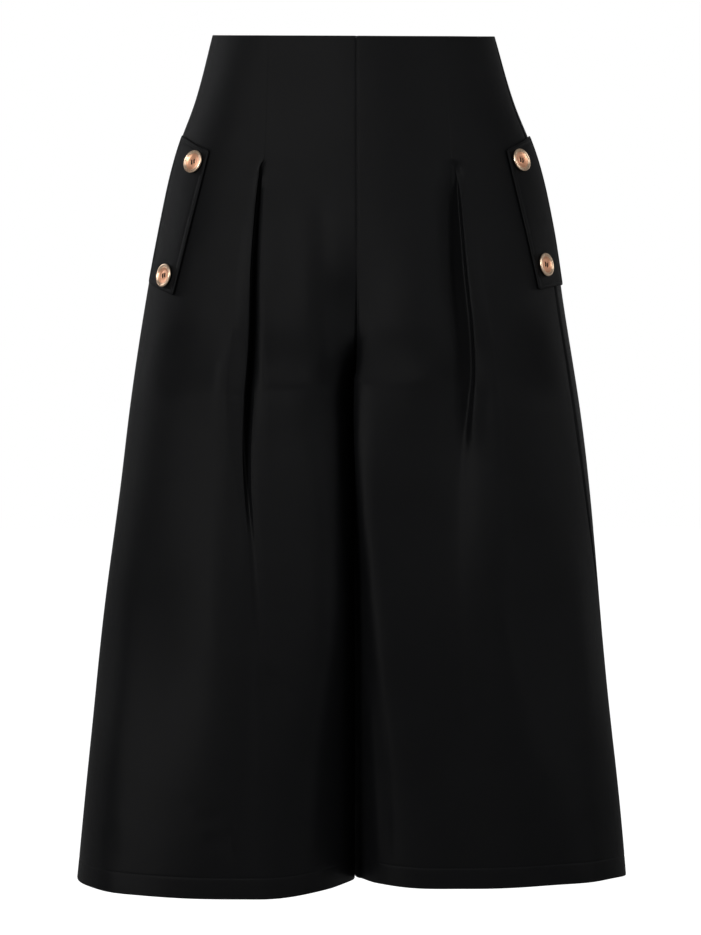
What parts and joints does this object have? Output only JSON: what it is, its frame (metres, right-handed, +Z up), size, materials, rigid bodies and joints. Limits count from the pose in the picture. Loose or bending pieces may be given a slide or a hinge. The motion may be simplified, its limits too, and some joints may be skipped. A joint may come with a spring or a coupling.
{
  "type": "culottes",
  "caption": "High-waisted wide-leg culottes in black crepe, filled out as worn, with released knife pleats, buttoned hip tabs and a concealed back zip.",
  "frame": {"origin": "middle of the waist opening, level with the waist edge at the sides, where the wearer's waist holds the garment", "axes": "+Z up along the garment's length, -Y to its front, -X to the wearer's right"},
  "size_m": [0.4947, 0.2456, 0.7708],
  "materials": {
    "crepe": "matt heavy crepe with a soft sheen",
    "rose_metal": "polished rose-gold plate",
    "tape": "woven polyester tape",
    "zip_enamel": "black enamel"
  },
  "bodies": {
    "garment": {"front_right": "crepe", "front_left": "crepe", "back_right": "crepe", "back_left": "crepe", "hip_tab_right": "crepe", "hip_tab_left": "crepe", "button_right_top": "rose_metal", "button_right_bottom": "rose_metal", "button_left_top": "rose_metal", "button_left_bottom": "rose_metal", "zip_tape_right": "tape", "zip_tape_left": "tape", "zip_slider": "zip_enamel"},
    "pull": {"zip_pull": "zip_enamel"}
  },
  "joints": [
    {"name": "zip_pull_hinge", "type": "hinge", "parent": "garment", "child": "pull", "pos_m": [0, 0.10034, -0.00653], "axis": [1, 0, 0], "range_deg": [0, 150]}
  ]
}
